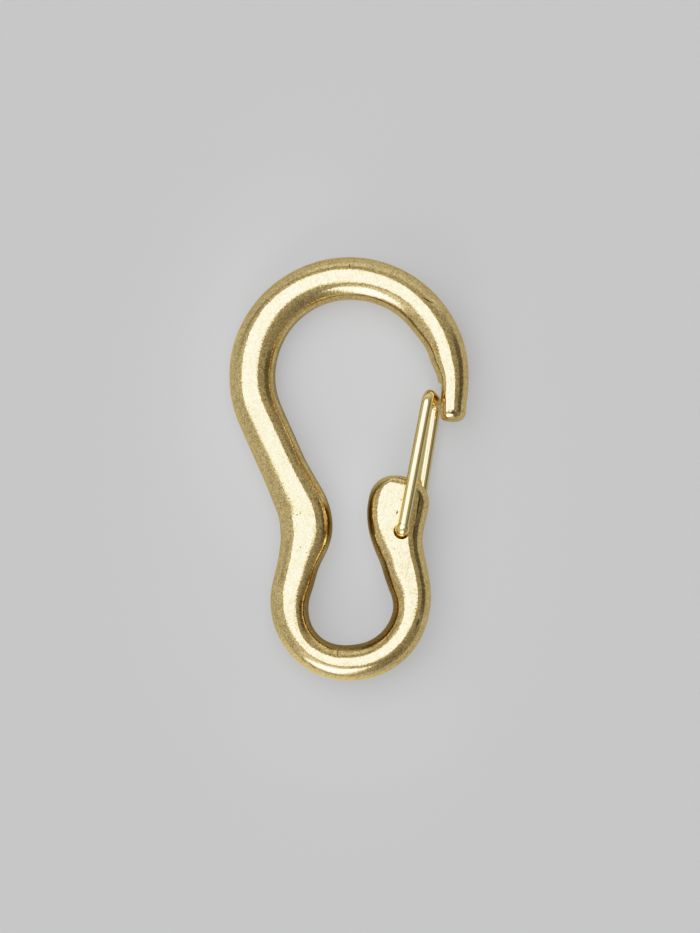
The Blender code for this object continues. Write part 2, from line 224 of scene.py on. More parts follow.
# %% Section sizes, in metres
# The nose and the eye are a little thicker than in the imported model, as their highlights ask for.
NOSE_WIDTH = 0.0050
NOSE_THICKNESS = 0.0070
SHOULDER_WIDTH = 0.0055
TAPER_WIDTH = 0.0067
LOOP_SIDE_WIDTH = 0.0074
LOOP_TOP_WIDTH = 0.0077
LOOP_THICKNESS = 0.0072
SPINE_WIDTH = 0.0083
SPINE_THICKNESS = 0.0074
WAIST_WIDTH = 0.0095
FLANK_WIDTH = 0.0074
EYE_WIDTH = 0.0061
EYE_BASE_WIDTH = 0.0065
EYE_THICKNESS = 0.0071
SHANK_WIDTH = 0.0080
HEAD_WIDTH = 0.0109
HEAD_THICKNESS = 0.0072
NOSE_OFFSET = 0.0010
TAPER_OFFSET = 0.0004
WAIST_OFFSET = 0.0003
EYE_OFFSET = 0.0005

# %% Section by place: width, thickness, flat share, offset to the left of the line
STATION_SHARES = (
    ("nose", 0.00, NOSE_WIDTH, NOSE_THICKNESS, 0.14, -NOSE_OFFSET),
    ("nose", 0.80, SHOULDER_WIDTH, NOSE_THICKNESS, 0.12, -NOSE_OFFSET),
    ("loop", 0.07, TAPER_WIDTH, LOOP_THICKNESS, 0.05, -TAPER_OFFSET),
    ("loop", 0.19, LOOP_SIDE_WIDTH, LOOP_THICKNESS, 0.04, 0.0),
    ("loop", 0.49, LOOP_TOP_WIDTH, LOOP_THICKNESS, 0.04, 0.0),
    ("loop", 0.85, SPINE_WIDTH, SPINE_THICKNESS, 0.08, 0.0),
    ("spine", 0.55, SPINE_WIDTH, SPINE_THICKNESS, 0.12, 0.0),
    ("waist", 0.50, WAIST_WIDTH, SPINE_THICKNESS, 0.10, WAIST_OFFSET),
    ("flank", 0.60, FLANK_WIDTH, SPINE_THICKNESS, 0.14, 0.0),
    ("eye", 0.30, EYE_WIDTH, EYE_THICKNESS, 0.04, -EYE_OFFSET),
    ("eye", 0.55, EYE_BASE_WIDTH, EYE_THICKNESS, 0.04, 0.0),
    ("eye", 0.85, EYE_BASE_WIDTH, EYE_THICKNESS, 0.08, 0.0),
    ("shank", 0.55, SHANK_WIDTH, HEAD_THICKNESS, 0.22, 0.0),
    ("head", 0.90, HEAD_WIDTH, HEAD_THICKNESS, 0.38, 0.0),
)

# %% Crown by place: how far the flats are shifted to the left of the line, and the outline's power
# The shift is a share of half the width. A power of two makes the sides ellipses, and a lower one
# makes the crown narrower.
CROWN_SHARES = (
    ("nose", 0.00, 0.22, 2.0),
    ("nose", 0.80, 0.20, 2.0),
    ("loop", 0.07, 0.10, 2.0),
    ("loop", 0.19, 0.0, 2.0),
    ("loop", 0.49, 0.03, 2.0),
    ("loop", 0.70, -0.06, 1.95),
    ("loop", 0.90, -0.03, 1.92),
    ("spine", 0.10, 0.02, 2.0),
    ("spine", 0.90, 0.08, 2.0),
    ("waist", 0.70, 0.13, 2.0),
    ("flank", 0.80, 0.12, 2.0),
    ("eye", 0.10, 0.18, 1.86),
    ("eye", 0.30, 0.0, 1.95),
    ("eye", 0.55, -0.05, 1.84),
    ("eye", 0.75, -0.05, 1.80),
    ("eye", 0.90, -0.08, 1.95),
    ("shank", 0.55, -0.04, 2.0),
    ("head", 0.90, 0.12, 2.0),
)


def by_place(table, distance):
    """A table's values at each distance: those of the places before and after it, mixed by its share
    of the way between them, eased at both ends."""
    places = np.array([place(name, share) for name, share, *_ in table])
    values = np.array([row[2:] for row in table])
    after = np.clip(np.searchsorted(places, distance), 1, len(places) - 1)
    share = (distance - places[after - 1]) / (places[after] - places[after - 1])
    eased = smooth_step(share)[:, None]
    return ((1 - eased) * values[after - 1] + eased * values[after]).T


def sections(distance):
    """Half width, half thickness, half flat, flat's shift, offset and power at each distance."""
    width, thickness, flat, offset = by_place(STATION_SHARES, distance)
    shift, power = by_place(CROWN_SHARES, distance)
    return width / 2, thickness / 2, flat * width / 2, shift * width / 2, offset, power


# %% Ends of the casting
NOSE_CAP_LENGTH = 0.0024
NOSE_CAP_POWERS = (2.7, 2.6)
HEAD_CAP_LENGTH = 0.0048
HEAD_CAP_POWERS = (2.2, 3.6)
CAP_ROWS = 26


def cap(length, powers):
    """Distances past an end, and the shares of width and thickness left there: one less the
    distance's share raised to a power, and that raised to one over the power. A power of two is
    an ellipse, and a higher one keeps the end fuller."""
    share = np.sin(np.linspace(0.0, QUARTER_TURN, CAP_ROWS + 1))[1:-1]
    left = [(1 - share**power) ** (1 / power) for power in powers]
    return length * share, left[0], left[1]


# %% Rows of the casting
ROW_SPACING = 0.00022
SEAT_LENGTH = 0.0044
SHOULDER_REACH = 0.0008
SHOULDER_SPACING = 0.00005


def casting_rows():
    """Distance along the line, distance past its end, and the shares of width and thickness, of each
    row. The rows are closer together where the seat's shoulder needs them."""
    fine = np.arange(SEAT_LENGTH - SHOULDER_REACH, SEAT_LENGTH + SHOULDER_REACH, SHOULDER_SPACING)
    even = np.linspace(0.0, whole_run, round(whole_run / ROW_SPACING))
    even = even[np.abs(even - SEAT_LENGTH) > SHOULDER_REACH]
    body = np.sort(np.concatenate((fine, even)))
    nose_past, nose_width, nose_height = cap(NOSE_CAP_LENGTH, NOSE_CAP_POWERS)
    head_past, head_width, head_height = cap(HEAD_CAP_LENGTH, HEAD_CAP_POWERS)
    on_line = np.concatenate((np.zeros(len(nose_past)), body, np.full(len(head_past), whole_run)))
    past = np.concatenate((-nose_past[::-1], np.zeros(len(body)), head_past))
    width = np.concatenate((nose_width[::-1], np.ones(len(body)), head_width))
    height = np.concatenate((nose_height[::-1], np.ones(len(body)), head_height))
    return on_line, past, width, height


rows_on_line, rows_past, width_share, height_share = casting_rows()
row_points, row_ways = along_line(rows_on_line)
half_width, half_thickness, half_flat, flat_shift, offset, power = sections(rows_on_line)
row_points = row_points + offset[:, None] * left_of(unit(row_ways)) + rows_past[:, None] * unit(row_ways)
half_width = half_width * width_share
half_flat = half_flat * width_share
flat_shift = flat_shift * width_share
half_thickness = half_thickness * height_share
print("rows", len(rows_on_line))

# %% [markdown]
# ## Where the origin is
# The frame's origin is the middle of the whole carabiner seen from the front, while the line above
# starts from the middle of the large loop. The rows' own edges give the difference.

# %% Origin
edges = np.concatenate(
    [row_points + side * half_width[:, None] * left_of(unit(row_ways)) for side in (-1.0, 1.0)]
)
origin = (edges.min(axis=0) + edges.max(axis=0)) / 2
row_points = row_points - origin
print("middle of the large loop", -origin)

# %% [markdown]
# ## Skin of the casting
# Round each row goes an outline made of four parts: a flat on the front, half an ellipse on one side,
# a flat on the back and half an ellipse on the other side. Each part has its own columns. The number
# stays the same all along, so that rows join cell by cell.

# %% Outline of a section
SIDE_COLUMNS = 46
FLAT_COLUMNS = 8


def outline_shares():
    """Across and up, for half a section: shares of the flat, of the ellipse's reach and of the
    thickness. The ellipse goes by cosine and sine, and the flat by even steps."""
    turn = np.linspace(-QUARTER_TURN, QUARTER_TURN, SIDE_COLUMNS, endpoint=False)
    flat_run = np.linspace(1.0, -1.0, FLAT_COLUMNS, endpoint=False)
    flat = np.concatenate((np.ones(SIDE_COLUMNS), flat_run))
    reach = np.concatenate((np.cos(turn), np.zeros(FLAT_COLUMNS)))
    up = np.concatenate((np.sin(turn), np.ones(FLAT_COLUMNS)))
    return np.concatenate((flat, -flat)), np.concatenate((reach, -reach)), np.concatenate((up, -up))


flat_share, reach_share, up_share = outline_shares()


def casting_skin():
    """Each row's outline, set square to the line: across is the flat's share plus the ellipse's, to
    the left of the line, and up is the thickness's share. The ellipse's shares are first raised to
    two over the power. A shift moves the flats by all of it and the sides by less and less, down to
    nothing at the widest point."""
    reach, rise = (
        np.sign(share) * np.abs(share) ** (2 / power[:, None]) for share in (reach_share, up_share)
    )
    across = half_flat[:, None] * flat_share + (half_width - half_flat)[:, None] * reach
    across += flat_shift[:, None] * (1 - np.abs(reach))
    up = half_thickness[:, None] * rise
    left = left_of(unit(row_ways))
    plan = row_points[:, None, :] + across[..., None] * left[:, None, :]
    return np.concatenate((plan, up[..., None]), axis=-1)


skin = casting_skin()
print("skin grid", skin.shape)

# %% [markdown]
# ## Seat for the gate
# A file has flattened the inner side of the nose, and the gate's crossbar shuts against that flat under
# a small sloping shoulder. Each point of the skin that stands inside the file's path is pushed back to
# the flat or the slope. A smooth least value, not a sharp one, leaves the edges softly rounded, as
# tumbling does.

# %% Seat and shoulder
SEAT_DEPTH = 0.0006
SHOULDER_SLOPE = math.radians(28.0)
SEAT_EDGE = 0.00008


def smooth_most(a, b, soft):
    """The greater of two lengths, with the corner between them rounded: their mean, plus half the
    root of their difference squared plus the softness squared."""
    return (a + b + np.sqrt((a - b) ** 2 + soft**2)) / 2


def smooth_least(a, b, soft):
    """The lesser of two lengths, with the corner between them rounded."""
    return -smooth_most(-a, -b, soft)


def file_seat(skin):
    """Moves the points near the nose back to the seat. Inwards is measured from the seat's plane and
    up from the shoulder's root; the file stops at the greater of the plane and the shoulder's
    slope, and a point keeps the lesser of where it is and where the file stops."""
    centre, way = along_line(np.array([SEAT_LENGTH]))
    seat_half_width, _, _, _, seat_offset, _ = sections(np.array([SEAT_LENGTH]))
    up = unit(way)[0]
    inwards = left_of(up)
    root = centre[0] - origin + (seat_offset[0] + seat_half_width[0] - SEAT_DEPTH) * inwards
    near = rows_on_line < SEAT_LENGTH + NOSE_RUN
    plan = skin[near][..., :2] - root
    inside, height = plan @ inwards, plan @ up
    stop = smooth_most(np.zeros_like(height), height / math.tan(SHOULDER_SLOPE), SEAT_EDGE)
    moved = smooth_least(inside, stop, SEAT_EDGE) - inside
    filed = skin.copy()
    filed[near, :, :2] += moved[..., None] * inwards
    return filed, root, up, inwards


skin, seat_root, seat_up, seat_inwards = file_seat(skin)
print("seat root", seat_root)

# %% [markdown]
# ## Unevenness of a casting
# A tumbled casting is never quite true, and that is what makes its highlights wander. A sum of waves
# in many directions, each with its own length and start, moves the skin by about a hundredth of a
# millimetre. The waves are drawn from a seeded generator, so they are the same each time.

# %% Waves over the skin
WAVE_SEED = 7
WAVE_COUNT = 28
WAVE_LENGTHS = (0.0050, 0.0160)
WAVE_HEIGHT = 0.000012


def waves(points):
    """The sum, over the waves, of the sine of a point's distance along the wave's direction over the
    wave's length, divided by the root of their number."""
    draw = np.random.default_rng(WAVE_SEED)
    direction = draw.normal(size=(WAVE_COUNT, 3))
    direction /= np.linalg.norm(direction, axis=1)[:, None]
    length = draw.uniform(*WAVE_LENGTHS, size=WAVE_COUNT)
    phase = draw.uniform(0.0, 2 * HALF_TURN, size=WAVE_COUNT)
    swing = np.sin(points @ (direction / length[:, None]).T * 2 * HALF_TURN + phase)
    return swing.sum(axis=-1) / math.sqrt(WAVE_COUNT)


def skin_normals(skin):
    """Outward direction at each point: the cross product of the steps to the next column and along
    the rows, made one long."""
    round_step = np.roll(skin, -1, axis=1) - np.roll(skin, 1, axis=1)
    along_step = np.gradient(skin, axis=0)
    normal = np.cross(round_step, along_step)
    return normal / np.linalg.norm(normal, axis=-1)[..., None]


skin = skin + WAVE_HEIGHT * waves(skin)[..., None] * skin_normals(skin)
casting = closed_tube("hook_casting", skin, skin[0].mean(axis=0), skin[-1].mean(axis=0))
print("casting faces", len(casting.data.polygons))

# %% [markdown]
# ## Gate plan
# The gate is one wire. Its front leg stands on the front face of the head, its back leg on the back
# face, a little further out and lower, and a crossbar joins them at the nose. Each foot turns into a
# blind hole. The stagger of the two feet is what makes the wire spring shut. The front foot's place
# and the seat fix everything else.

# %% Sizes of the gate, in metres
WIRE_DIAMETER = 0.00205
ELBOW_RADIUS = 0.0012
ELBOW_SWELL = 0.00026
LOOP_BEND_RADIUS = 0.0019
STUB_DEPTH = 0.0020
FOOT_STAGGER = 0.0025
FOOT_STEP = 0.0009
TOP_STAGGER = 0.0018
TOP_STEP = 0.00085
FRONT_END_BACK = 0.00495
FRONT_END_OUT = 0.0010
HOLE_DIAMETER = 0.0028
HOLE_DEPTH = 0.0025
DRILL_POINT_ANGLE = math.radians(118.0)
FACE_GAP = 0.0003
SEAT_GAP = 0.0003
SEAT_DROP = 0.00265
SEAT_EDGE_SHARE = 0.35

# %% Where the gate stands
wire_radius = WIRE_DIAMETER / 2
leg_height = HEAD_THICKNESS / 2 + FACE_GAP + wire_radius


def gate_plan():
    """Feet and tops of both legs, seen from the front. The crossbar slants from the front top to the
    back top, and the point of it that touches the seat has to lie a set way below the shoulder,
    so the leg's length and lean follow from a right triangle."""
    point, way = along_line(np.array([whole_run - FRONT_END_BACK]))
    front_foot = point[0] - origin - FRONT_END_OUT * left_of(unit(way))[0]
    touch_share = (1 + SEAT_EDGE_SHARE * NOSE_THICKNESS / 2 / leg_height) / 2
    touch = seat_root - SEAT_DROP * seat_up + (wire_radius + SEAT_GAP) * seat_inwards
    run, rise = touch - front_foot
    reach = math.hypot(run, rise)
    sideways = touch_share * TOP_STAGGER
    leg = math.sqrt(reach**2 - sideways**2) + touch_share * TOP_STEP
    along = unit(math.atan2(rise, run) + math.asin(sideways / reach))
    outwards = -left_of(along)
    front_top = front_foot + leg * along
    back_top = front_top + TOP_STAGGER * outwards - TOP_STEP * along
    back_foot = front_foot + FOOT_STAGGER * outwards - FOOT_STEP * along
    return front_foot, front_top, back_top, back_foot


front_foot, front_top, back_top, back_foot = gate_plan()
gate_joint = frame["joints"][0]
pivot = (front_foot + back_foot) / 2
print("feet", front_foot, back_foot, "tops", front_top, back_top, "pivot", pivot, gate_joint["name"])

# %% [markdown]
# ## Drilled holes
# A hole is what a drill leaves: a round wall, a cone at the bottom, and a rim that tumbling has worn
# round. The cutter is that shape turned about its axis, and a Boolean takes it out of the casting. The
# exact solver is used, and the result is kept as the casting's own mesh.

# %% Drill shapes
HOLE_SIDES = 96
RIM_RADIUS = 0.00010
RIM_STEPS = 7
CUT_OVERRUN = 0.0010
HOLE_FLOOR_STEPS = 4


def turned_about(point, angle):
    """This point of the plan, turned about the gate's pivot."""
    arm = point - pivot
    return pivot + math.cos(angle) * arm + math.sin(angle) * left_of(arm)


def drill_profile():
    """Radius and depth below the face, from above the face to the bottom: the rim is a quarter of a
    circle, then comes the wall, then the cone."""
    swing = np.linspace(0.0, QUARTER_TURN, RIM_STEPS)
    wall = HOLE_DIAMETER / 2
    rim_radius = wall + RIM_RADIUS * (1 - np.sin(swing))
    rim_depth = RIM_RADIUS * (1 - np.cos(swing))
    inner = wall * np.linspace(1.0, 0.0, HOLE_FLOOR_STEPS, endpoint=False)
    cone_depth = HOLE_DEPTH + (wall - inner) / math.tan(DRILL_POINT_ANGLE / 2)
    radius = np.concatenate(([rim_radius[0]], rim_radius, inner))
    depth = np.concatenate(([-CUT_OVERRUN], rim_depth, cone_depth))
    return radius, depth, HOLE_DEPTH + wall / math.tan(DRILL_POINT_ANGLE / 2)


def drill_shape(name, centre, side):
    """The profile turned about an upright axis, standing in the face at plus or minus half the
    head's thickness."""
    radius, depth, tip = drill_profile()
    turn = np.linspace(0.0, 2 * HALF_TURN, HOLE_SIDES, endpoint=False)
    face = side * HEAD_THICKNESS / 2
    plan = centre + radius[:, None, None] * unit(side * turn)
    height = np.broadcast_to((face - side * depth)[:, None, None], plan.shape[:2] + (1,))
    rings = np.concatenate((plan, height), axis=-1)[::-1]
    bottom = (*centre, face - side * tip)
    top = (*centre, face + side * CUT_OVERRUN)
    return closed_tube(name, rings, bottom, top)


def cut_out(body, cutter):
    """Takes the cutter out of the body with a Boolean and removes the cutter."""
    modifier = body.modifiers.new("drill", "BOOLEAN")
    modifier.object = cutter
    modifier.operation = "DIFFERENCE"
    modifier.solver = "EXACT"
    cut_body = body.evaluated_get(bpy.context.evaluated_depsgraph_get())
    cut_mesh = bpy.data.meshes.new_from_object(cut_body)
    body.modifiers.clear()
    body.data = cut_mesh
    bpy.data.objects.remove(cutter)


# %% Drill both faces of the head
RIM_SHARP_ANGLE = math.radians(40.0)
gate_travel = math.radians(gate_joint["range_deg"][1])
for foot, side in ((front_foot, 1.0), (back_foot, -1.0)):
    cut_out(casting, drill_shape("drill", turned_about(foot, gate_travel / 2), side))
casting.data.shade_smooth()
casting.data.set_sharp_from_angle(angle=RIM_SHARP_ANGLE)
casting.data.name = "hook_casting"
print("casting faces after drilling", len(casting.data.polygons))

# %% [markdown]
# ## Gate wire
# The wire's path is straight runs joined by arcs. At each elbow the wire was bent hard and hammered,
# so it bulges there into a knob. A round ring is set square to the path at each point. Its two
# directions come from the path's own direction and one fixed sideways direction, which never lines
# up with this path, so that the rings don't twist.

# %% Path of the wire
BEND_STEPS = 28
RUN_SPACING = 0.0003
stub_end = HEAD_THICKNESS / 2 - STUB_DEPTH
wire_corners = np.array(
    [
        (*front_foot, stub_end),
        (*front_foot, leg_height),
        (*front_top, leg_height),
        (*back_top, -leg_height),
        (*back_foot, -leg_height),
        (*back_foot, -stub_end),
    ]
)


def bend_at(before, corner, after, radius, swell):
    """Points on the arc that rounds a corner: its centre lies on the inner side, and the wire's
    radius grows by the swell times the square of the sine along the bend. The path moves outwards
    by as much, so the inner side stays where it is."""
    into = (corner - before) / np.linalg.norm(corner - before)
    out = (after - corner) / np.linalg.norm(after - corner)
    turn = math.acos(float(np.clip(into @ out, -1.0, 1.0)))
    side = out - into * (into @ out)
    side = side / np.linalg.norm(side)
    centre = corner - into * radius * math.tan(turn / 2) + side * radius
    swing = np.linspace(0.0, turn, BEND_STEPS)[:, None]
    grown = swell * np.sin(np.linspace(0.0, HALF_TURN, BEND_STEPS))[:, None] ** 2
    points = centre + (into * np.sin(swing) - side * np.cos(swing)) * (radius + grown)
    return points, (wire_radius + grown)[:, 0]


def straight_run(start, end):
    """Even points strictly between two ends."""
    count = max(2, round(float(np.linalg.norm(end - start)) / RUN_SPACING))
    share = np.linspace(0.0, 1.0, count + 1)[1:-1, None]
    return start + share * (end - start), np.full(count - 1, wire_radius)


def wire_path():
    """Centre points and radii of the wire from one stub to the other: arcs at the four corners, with
    straight runs between them."""
    arcs = [
        bend_at(*wire_corners[i : i + 3], radius, swell)
        for i, (radius, swell) in enumerate(
            (
                (ELBOW_RADIUS, ELBOW_SWELL),
                (LOOP_BEND_RADIUS, 0.0),
                (LOOP_BEND_RADIUS, 0.0),
                (ELBOW_RADIUS, ELBOW_SWELL),
            )
        )
    ]
    pieces = []
    here = wire_corners[0]
    for points, radii in arcs:
        pieces += [straight_run(here, points[0]), (points, radii)]
        here = points[-1]
    pieces.append(straight_run(here, wire_corners[-1]))
    return np.concatenate([p for p, _ in pieces]), np.concatenate([r for _, r in pieces])


wire_points, wire_radii = wire_path()
print("wire points", len(wire_points))

# %% Skin of the wire
WIRE_SIDES = 56
END_STEPS = 10
END_DOME = 0.00015


def wire_rings(points, radii):
    """Rings square to the path: the first direction of each is the fixed sideways direction with the
    path's own part taken out, and the second is square to both."""
    way = np.gradient(points, axis=0)
    way /= np.linalg.norm(way, axis=1)[:, None]
    leg = front_top - front_foot
    sideways = np.array((leg[1], -leg[0], 0.0)) / np.linalg.norm(leg)
    first = sideways - (way @ sideways)[:, None] * way
    first /= np.linalg.norm(first, axis=1)[:, None]
    second = np.cross(way, first)
    turn = np.linspace(0.0, 2 * HALF_TURN, WIRE_SIDES, endpoint=False)
    ring = np.cos(turn)[None, :, None] * first[:, None] + np.sin(turn)[None, :, None] * second[:, None]
    return points[:, None] + radii[:, None, None] * ring


def rounded_ends(points, radii):
    """The path with a dome added at each end: the radius goes by the cosine and the way past the end
    by the sine of the same swing, times the dome's height."""
    swing = np.linspace(0.0, QUARTER_TURN, END_STEPS, endpoint=False)[1:]
    first_way = (points[0] - points[1]) / np.linalg.norm(points[0] - points[1])
    last_way = (points[-1] - points[-2]) / np.linalg.norm(points[-1] - points[-2])
    past = np.sin(swing)[:, None] * END_DOME
    first_dome = (points[0] + past * first_way)[::-1]
    last_dome = points[-1] + past * last_way
    left = np.cos(swing) * wire_radius
    return np.concatenate((first_dome, points, last_dome)), np.concatenate((left[::-1], radii, left))


dome_points, dome_radii = rounded_ends(wire_points, wire_radii)
rings = wire_rings(dome_points, dome_radii)
gate = closed_tube("gate_wire", rings, rings[0].mean(axis=0), rings[-1].mean(axis=0))
print("gate faces", len(gate.data.polygons))


# %% Faces point outwards
CUBIC_MILLIMETRES = 1e9


def signed_volume(made):
    """Sum over the triangles of a sixth of the triple product of their corners: it is above zero
    where the faces point out."""
    mesh = made.data
    mesh.calc_loop_triangles()
    corners = np.zeros(len(mesh.loop_triangles) * 3, np.int32)
    mesh.loop_triangles.foreach_get("vertices", corners)
    places = np.zeros(len(mesh.vertices) * 3)
    mesh.vertices.foreach_get("co", places)
    a, b, c = places.reshape(-1, 3)[corners.reshape(-1, 3)].transpose(1, 0, 2)
    return float(np.einsum("ij,ij->i", a, np.cross(b, c)).sum() / 6)


for piece in (casting, gate):
    print(piece.name, "volume, mm3", signed_volume(piece) * CUBIC_MILLIMETRES)

# %% Bodies and what each piece stands for
for piece, node, body, slot in (
    (casting, "hook_body", "hook", "cast_brass"),
    (gate, "wire_gate", "gate", "brass_wire"),
):
    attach(piece, body)
    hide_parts(node)
    print(piece.name, "stands for", node, "and rides on", body)

# %% [markdown]
# ## Brass
# Brass shows almost no colour of its own except in what it mirrors, so it is a metal with a warm base
# colour, and the work goes into its surface. Four effects are node groups: a soft grain, as left by
# tumbling, a crisp speckle of tiny facets that each mirror a little more or less light, small pits,
# and one mark of use, which is placed again for each dent, scratch and rust spot. An image would be
# quicker, but it would be as coarse as its pixels, and noise on the piece's own coordinates isn't.


# %% Node helpers
def new_group(name, inputs, outputs):
    """An empty shader node group with these inputs and outputs, each a name and a socket type."""
    group = bpy.data.node_groups.new(name, "ShaderNodeTree")
    for label, kind in inputs:
        group.interface.new_socket(name=label, in_out="INPUT", socket_type=kind)
    for label, kind in outputs:
        group.interface.new_socket(name=label, in_out="OUTPUT", socket_type=kind)
    return group, group.nodes.new("NodeGroupInput"), group.nodes.new("NodeGroupOutput")


def add(tree, kind, links=(), **values):
    """A node of this kind. Values with a plain name are the node's own settings, and are set first.
    Links are pairs of an input, by name or number, and the socket or value that goes into it."""
    node = tree.nodes.new(kind)
    for key, value in values.items():
        setattr(node, key, value)
    for target, source in links:
        if isinstance(source, bpy.types.NodeSocket):
            tree.links.new(source, node.inputs[target])
        else:
            node.inputs[target].default_value = source
    return node


def use_group(tree, group, links):
    """A placed copy of a node group."""
    return add(tree, "ShaderNodeGroup", links, node_tree=group)


# %% Helpers for sums, mixes and ranges
def sum_of(tree, operation, *sources):
    """A Math node with this operation and these inputs."""
    return add(tree, "ShaderNodeMath", enumerate(sources), operation=operation).outputs[0]


def vector_of(tree, operation, *sources, output="Vector"):
    """A Vector Math node with this operation and these inputs."""
    return add(tree, "ShaderNodeVectorMath", enumerate(sources), operation=operation).outputs[output]


def scaled(tree, vector, factor):
    """A vector, or a colour, times a number."""
    links = (("Vector", vector), ("Scale", factor))
    return add(tree, "ShaderNodeVectorMath", links, operation="SCALE").outputs["Vector"]


def mix_colour(tree, factor, first, second):
    """The first colour where the factor is nought and the second where it is one."""
    links = ((0, factor), (6, first), (7, second))
    return add(tree, "ShaderNodeMix", links, data_type="RGBA").outputs[2]


def range_of(tree, value, low, high, start=0.0, end=1.0, interpolation="LINEAR"):
    """A value brought from one range to another, held at both ends."""
    links = (("Value", value), ("From Min", low), ("From Max", high), ("To Min", start), ("To Max", end))
    return add(tree, "ShaderNodeMapRange", links, interpolation_type=interpolation).outputs["Result"]


# %% Helpers for places
def ramp_of(tree, value, low, high, start=0.0, end=1.0):
    """A value brought from one range to another, eased at both ends."""
    return range_of(tree, value, low, high, start, end, "SMOOTHSTEP")


def reach_share_of(tree, coordinates, centre, half_size):
    """How far each place lies from a centre, seen from above, as a share of an ellipse's reach: the
    length of the way between them over the ellipse's half sizes."""
    way = vector_of(tree, "SUBTRACT", coordinates, (*centre, 0.0))
    over = vector_of(tree, "MULTIPLY", way, (*(1 / size for size in half_size), 0.0))
    return vector_of(tree, "LENGTH", over, output="Value")


# %% Shared effect: grain
NUMBER = "NodeSocketFloat"
VECTOR = "NodeSocketVector"
FINE_DETAIL = 3.0
COARSE_DETAIL = 4.0


def noise(tree, coordinates, scale, detail):
    """A soft noise of this scale."""
    links = (("Vector", coordinates), ("Scale", scale), ("Detail", detail))
    return add(tree, "ShaderNodeTexNoise", links).outputs["Fac"]


def make_grain():
    """Uneven grain. Its height is a fine noise plus a coarser one, and its patches are the coarser
    one alone."""
    group, given, made = new_group(
        "tumbled_grain",
        (("Vector", VECTOR), ("Fine Scale", NUMBER), ("Coarse Scale", NUMBER)),
        (("Height", NUMBER), ("Patches", NUMBER)),
    )
    fine = noise(group, given.outputs["Vector"], given.outputs["Fine Scale"], FINE_DETAIL)
    coarse = noise(group, given.outputs["Vector"], given.outputs["Coarse Scale"], COARSE_DETAIL)
    group.links.new(sum_of(group, "ADD", fine, coarse), made.inputs["Height"])
    group.links.new(coarse, made.inputs["Patches"])
    return group


grain_group = make_grain()


# %% Shared effect: speckle
FACET_DETAIL = 1.0
FACET_NOISE_RANGE = (0.3, 0.7)
FACET_NOISE_SHARE = 0.4


def cell_links(given):
    """Place and scale, handed on from a group's inputs to a pattern of cells."""
    return (("Vector", given.outputs["Vector"]), ("Scale", given.outputs["Scale"]))


def make_speckle():
    """Tiny facets: the random value of each cell, pulled by a share towards a soft noise of the same
    size that is spread from nought to one."""
    group, given, made = new_group(
        "facet_speckle", (("Vector", VECTOR), ("Scale", NUMBER)), (("Facet", NUMBER),)
    )
    cells = add(group, "ShaderNodeTexVoronoi", cell_links(given))
    cell_colour = add(group, "ShaderNodeSeparateColor", (("Color", cells.outputs["Color"]),))
    soft = noise(group, given.outputs["Vector"], given.outputs["Scale"], FACET_DETAIL)
    spread = range_of(group, soft, *FACET_NOISE_RANGE)
    both_links = ((0, FACET_NOISE_SHARE), (2, cell_colour.outputs["Green"]), (3, spread))
    both = add(group, "ShaderNodeMix", both_links)
    group.links.new(both.outputs[0], made.inputs["Facet"])
    return group


speckle_group = make_speckle()


# %% Shared effect: pits
def make_pits():
    """Small round pits: one where a cell's centre is nearer than the pit's size, thinned out by
    keeping only the cells whose own random value is above a threshold."""
    group, given, made = new_group(
        "small_pits",
        (("Vector", VECTOR), ("Scale", NUMBER), ("Size", NUMBER), ("Rarity", NUMBER)),
        (("Pit", NUMBER),),
    )
    cells = add(group, "ShaderNodeTexVoronoi", cell_links(given))
    depth = ramp_of(group, cells.outputs["Distance"], given.outputs["Size"], 0.0)
    lottery = add(group, "ShaderNodeSeparateColor", (("Color", cells.outputs["Color"]),))
    kept = sum_of(group, "GREATER_THAN", lottery.outputs["Red"], given.outputs["Rarity"])
    group.links.new(sum_of(group, "MULTIPLY", depth, kept), made.inputs["Pit"])
    return group


pits_group = make_pits()

# %% Shared effect: one mark
MARK_EDGE_SHARES = (0.5, 1.15)


def make_mark():
    """A dent, a scratch or a spot on the front face: an ellipse that lies along a way. Each of its
    two directions is divided by the ellipse's size that way, so the reach is one at its edge, and
    the mask goes from one in the middle to nought past the edge."""
    group, given, made = new_group(
        "front_mark",
        (("Vector", VECTOR), ("Centre", VECTOR), ("Along", VECTOR), ("Across", VECTOR)),
        (("Mark", NUMBER),),
    )
    way = vector_of(group, "SUBTRACT", given.outputs["Vector"], given.outputs["Centre"])
    squares = []
    for axis in ("Along", "Across"):
        part = vector_of(group, "DOT_PRODUCT", way, given.outputs[axis], output="Value")
        squares.append(sum_of(group, "MULTIPLY", part, part))
    reach = sum_of(group, "SQRT", sum_of(group, "ADD", *squares))
    height = add(group, "ShaderNodeSeparateXYZ", ((0, given.outputs["Vector"]),)).outputs["Z"]
    front = sum_of(group, "GREATER_THAN", height, 0.0)
    mask = sum_of(group, "MULTIPLY", ramp_of(group, reach, *MARK_EDGE_SHARES, 1.0, 0.0), front)
    group.links.new(mask, made.inputs["Mark"])
    return group


mark_group = make_mark()

